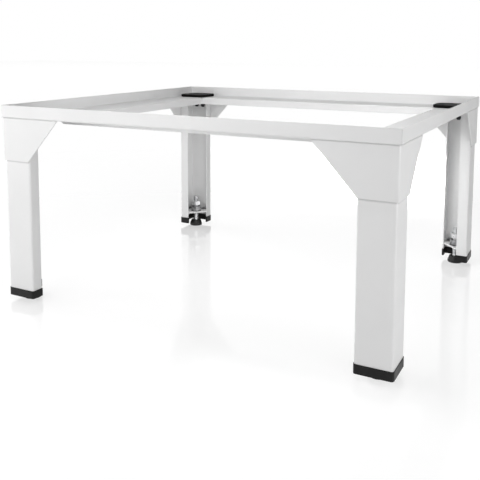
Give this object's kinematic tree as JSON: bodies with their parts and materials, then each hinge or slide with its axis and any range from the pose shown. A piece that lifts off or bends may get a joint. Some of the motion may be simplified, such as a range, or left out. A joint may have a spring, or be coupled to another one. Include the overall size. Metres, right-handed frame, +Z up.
{
  "type": "washing machine stand",
  "caption": "Raised rectangular stand of white folded sheet steel with a rimmed shelf, rubber corner pads, bracketed open-section legs and levelling feet.",
  "frame": {"origin": "floor level, under the middle of the frame", "axes": "+X to the right along the front, +Y towards the back, +Z up"},
  "size_m": [0.6, 0.54, 0.298],
  "materials": {
    "white_paint": "semi-gloss white powder coat on folded sheet steel",
    "pad_rubber": "matt black rubber",
    "cap_plastic": "satin moulded plastic, very dark grey",
    "foot_plastic": "matt black moulded plastic",
    "zinc": "bright zinc plating",
    "black_steel": "blackened steel"
  },
  "bodies": {
    "frame": {"rail_front": "white_paint", "rail_back": "white_paint", "rail_left": "white_paint", "rail_right": "white_paint", "bracket_front_left": "white_paint", "bracket_front_right": "white_paint", "bracket_back_left": "white_paint", "bracket_back_right": "white_paint", "leg_front_left": "white_paint", "leg_front_right": "white_paint", "leg_back_left": "white_paint", "leg_back_right": "white_paint", "leg_studs_front_left": "black_steel", "leg_studs_front_right": "black_steel", "leg_studs_back_left": "black_steel", "leg_studs_back_right": "black_steel", "leg_nuts_front_left": "black_steel", "leg_nuts_front_right": "black_steel", "leg_nuts_back_left": "black_steel", "leg_nuts_back_right": "black_steel", "leg_cap_front_left": "cap_plastic", "leg_cap_front_right": "cap_plastic", "leg_cap_back_left": "cap_plastic", "leg_cap_back_right": "cap_plastic", "foot_plate_front_left": "white_paint", "foot_plate_front_right": "white_paint", "foot_plate_back_left": "white_paint", "foot_plate_back_right": "white_paint", "weld_nut_front_left": "zinc", "weld_nut_front_right": "zinc", "weld_nut_back_left": "zinc", "weld_nut_back_right": "zinc", "corner_pad_front_left": "pad_rubber", "corner_pad_front_right": "pad_rubber", "corner_pad_back_left": "pad_rubber", "corner_pad_back_right": "pad_rubber"},
    "leveller_front_left": {"foot_front_left": "foot_plastic"},
    "bolt_front_left": {"foot_bolt_front_left": "zinc"},
    "locking_front_left": {"lock_nut_front_left": "zinc"},
    "leveller_front_right": {"foot_front_right": "foot_plastic"},
    "bolt_front_right": {"foot_bolt_front_right": "zinc"},
    "locking_front_right": {"lock_nut_front_right": "zinc"},
    "leveller_back_left": {"foot_back_left": "foot_plastic"},
    "bolt_back_left": {"foot_bolt_back_left": "zinc"},
    "locking_back_left": {"lock_nut_back_left": "zinc"},
    "leveller_back_right": {"foot_back_right": "foot_plastic"},
    "bolt_back_right": {"foot_bolt_back_right": "zinc"},
    "locking_back_right": {"lock_nut_back_right": "zinc"}
  },
  "joints": [
    {"name": "foot_height_front_left", "type": "slide", "parent": "frame", "child": "leveller_front_left", "axis": [0, 0, 1], "range_m": [-0.00975, 0.015]},
    {"name": "bolt_turn_front_left", "type": "hinge", "parent": "leveller_front_left", "child": "bolt_front_left", "pos_m": [-0.273, -0.243, 0.03], "axis": [0, 0, 1], "range_deg": [-2341, 3601]},
    {"name": "lock_nut_run_front_left", "type": "slide", "parent": "frame", "child": "locking_front_left", "axis": [0, 0, 1], "range_m": [-0.0034, 0.0105]},
    {"name": "foot_height_front_right", "type": "slide", "parent": "frame", "child": "leveller_front_right", "axis": [0, 0, 1], "range_m": [-0.00975, 0.015]},
    {"name": "bolt_turn_front_right", "type": "hinge", "parent": "leveller_front_right", "child": "bolt_front_right", "pos_m": [0.273, -0.243, 0.03], "axis": [0, 0, 1], "range_deg": [-2341, 3601]},
    {"name": "lock_nut_run_front_right", "type": "slide", "parent": "frame", "child": "locking_front_right", "axis": [0, 0, 1], "range_m": [-0.0034, 0.0105]},
    {"name": "foot_height_back_left", "type": "slide", "parent": "frame", "child": "leveller_back_left", "axis": [0, 0, 1], "range_m": [-0.00975, 0.015]},
    {"name": "bolt_turn_back_left", "type": "hinge", "parent": "leveller_back_left", "child": "bolt_back_left", "pos_m": [-0.273, 0.243, 0.03], "axis": [0, 0, 1], "range_deg": [-2341, 3601]},
    {"name": "lock_nut_run_back_left", "type": "slide", "parent": "frame", "child": "locking_back_left", "axis": [0, 0, 1], "range_m": [-0.0034, 0.0105]},
    {"name": "foot_height_back_right", "type": "slide", "parent": "frame", "child": "leveller_back_right", "axis": [0, 0, 1], "range_m": [-0.00975, 0.015]},
    {"name": "bolt_turn_back_right", "type": "hinge", "parent": "leveller_back_right", "child": "bolt_back_right", "pos_m": [0.273, 0.243, 0.03], "axis": [0, 0, 1], "range_deg": [-2341, 3601]},
    {"name": "lock_nut_run_back_right", "type": "slide", "parent": "frame", "child": "locking_back_right", "axis": [0, 0, 1], "range_m": [-0.0034, 0.0105]}
  ],
  "couplings": [
    {"joint": "bolt_turn_front_left", "follows": "foot_height_front_left", "rad_per_m": 4188.8},
    {"joint": "bolt_turn_front_right", "follows": "foot_height_front_right", "rad_per_m": 4188.8},
    {"joint": "bolt_turn_back_left", "follows": "foot_height_back_left", "rad_per_m": 4188.8},
    {"joint": "bolt_turn_back_right", "follows": "foot_height_back_right", "rad_per_m": 4188.8}
  ]
}
